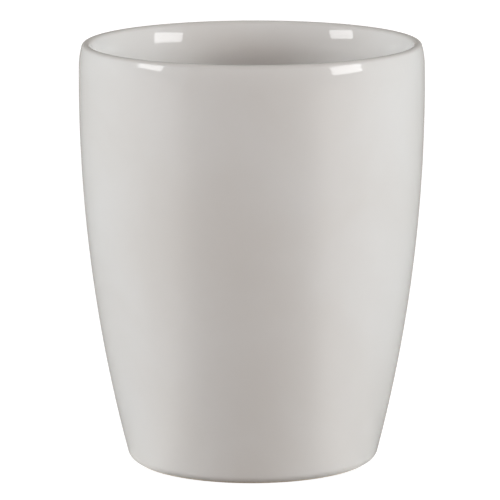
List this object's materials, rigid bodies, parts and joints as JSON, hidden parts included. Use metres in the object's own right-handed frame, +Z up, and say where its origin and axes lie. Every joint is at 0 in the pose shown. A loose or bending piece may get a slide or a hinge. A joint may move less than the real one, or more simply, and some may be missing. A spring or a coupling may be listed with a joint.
{
  "type": "tumbler",
  "caption": "Round tapered bathroom tumbler in glazed ceramic, widest just below a rounded lip, with a thick floor, a rounded well and a bare ring foot.",
  "frame": {"origin": "centre of the foot ring, on the table plane", "axes": "+Z up along the axis of the tumbler, out of its mouth; it is round, so X and Y are any two square directions"},
  "size_m": [0.082, 0.082, 0.1004],
  "materials": {
    "bare_clay": "matt, unglazed, wiped clean before firing",
    "glaze": "gloss, smooth, warm light grey"
  },
  "bodies": {
    "root": {"ceramic_body": "bare_clay", "glaze_coat": "glaze", "underside_glaze": "glaze"}
  },
  "joints": []
}
